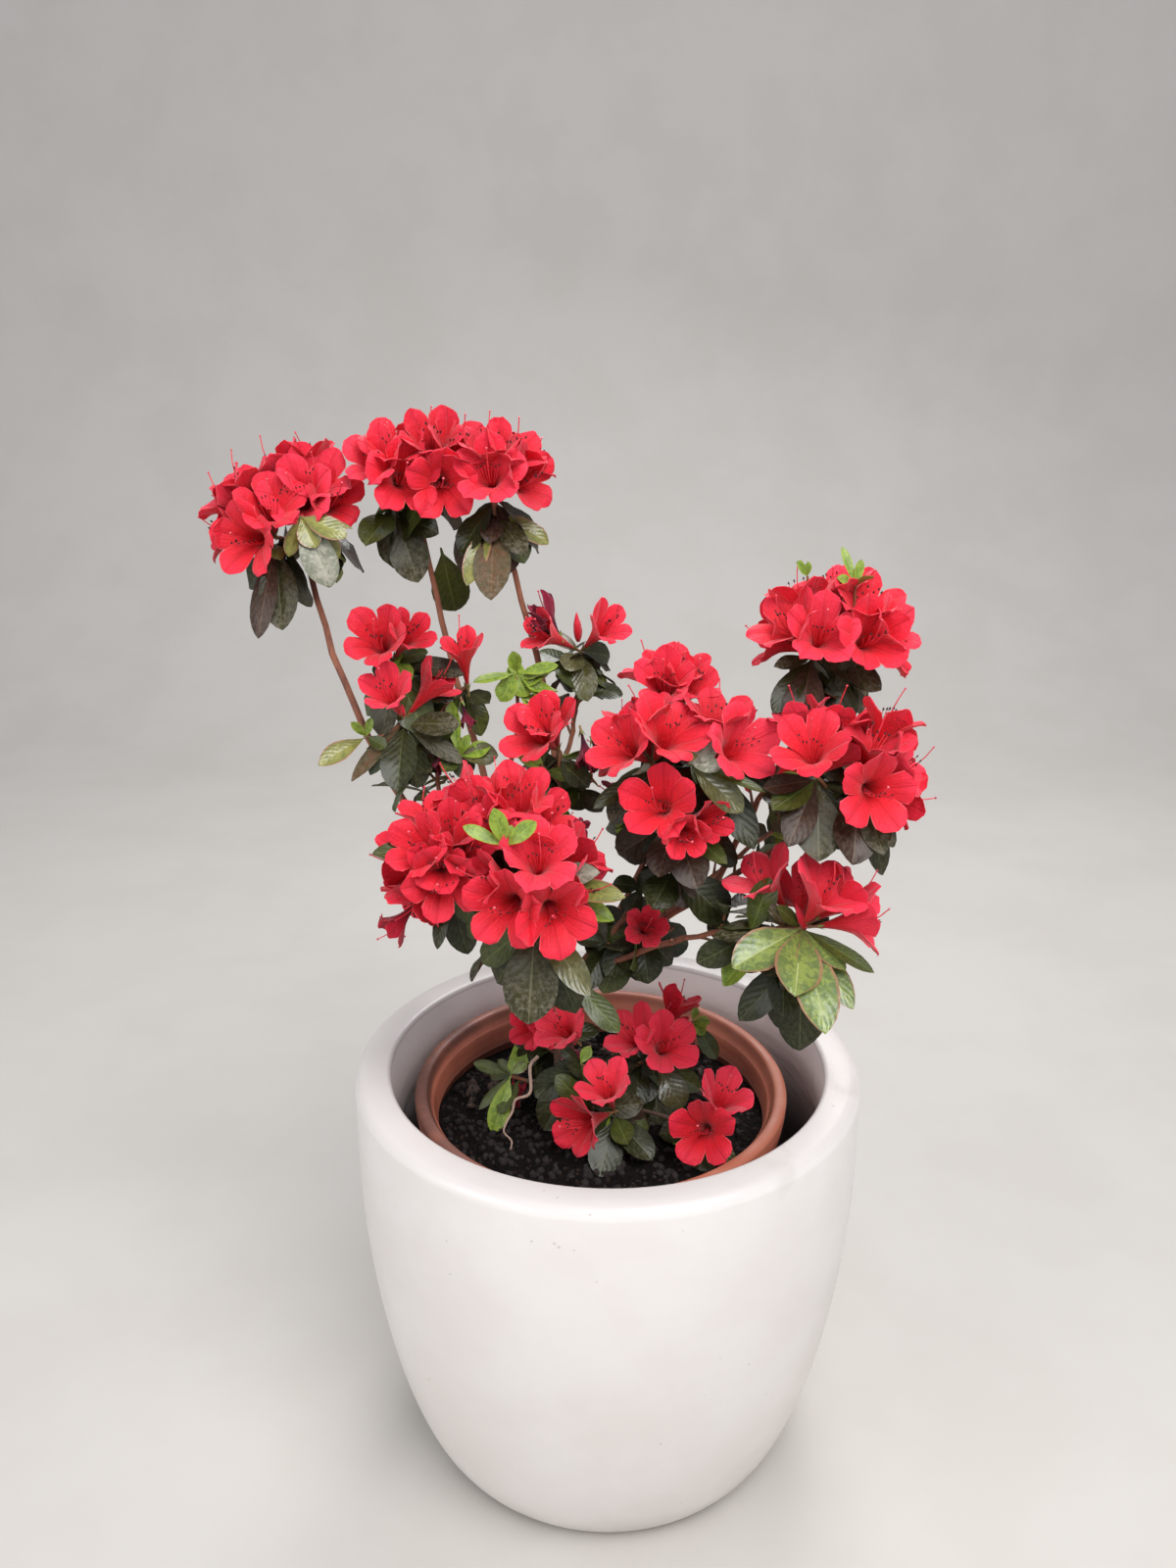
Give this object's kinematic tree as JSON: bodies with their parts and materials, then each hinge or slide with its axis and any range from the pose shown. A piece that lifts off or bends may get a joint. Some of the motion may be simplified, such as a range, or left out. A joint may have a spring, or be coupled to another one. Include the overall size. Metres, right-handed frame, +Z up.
{
  "type": "flowering azalea shrub in a round planter",
  "caption": "Small azalea shrub with open clusters of red blooms on thin woody boughs, in a terracotta-coloured grow pot set inside a thick-walled white round planter.",
  "frame": {"origin": "centre of the planter's flat underside", "axes": "+Z up along the planter's axis; -Y is the side that the low flower heads lean to, the side seen in the picture; +X is to the right seen from there"},
  "size_m": [0.4029, 0.3, 0.6299],
  "materials": {
    "white_planter": "satin",
    "terracotta_plastic": "satin",
    "soil": "matte",
    "bark": "matte",
    "bloom_red": "matte",
    "leaf_green": "satin"
  },
  "bodies": {
    "root": {"planter": "white_planter", "grow_pot": "terracotta_plastic", "soil": "soil", "trunk": "bark", "bough_far_left": "bark", "bough_top_left": "bark", "bough_top_right": "bark", "bough_left": "bark", "bough_centre_back": "bark", "bough_young_shoot": "bark", "bough_centre": "bark", "bough_middle": "bark", "bough_right": "bark", "bough_right_top": "bark", "bough_low_right": "bark", "bough_front": "bark", "bough_inner_low": "bark", "bough_back_left": "bark", "bough_back": "bark", "bough_back_right": "bark", "bough_pot_front": "bark", "bough_pot_right": "bark", "bough_pot_middle": "bark", "bough_pot_back": "bark", "bough_pot_shoot": "bark", "mass_far_left": "bloom_red", "mass_top_left": "bloom_red", "mass_top_right": "bloom_red", "mass_left": "bloom_red", "mass_centre_back": "bloom_red", "mass_young_shoot": "leaf_green", "mass_centre": "bloom_red", "mass_middle": "bloom_red", "mass_right": "bloom_red", "mass_right_top": "bloom_red", "mass_low_right": "bloom_red", "mass_front": "bloom_red", "mass_inner_low": "bloom_red", "mass_back_left": "bloom_red", "mass_back": "bloom_red", "mass_back_right": "bloom_red", "mass_pot_front": "bloom_red", "mass_pot_right": "bloom_red", "mass_pot_middle": "bloom_red", "mass_pot_back": "bloom_red", "mass_pot_shoot": "leaf_green"}
  },
  "joints": []
}
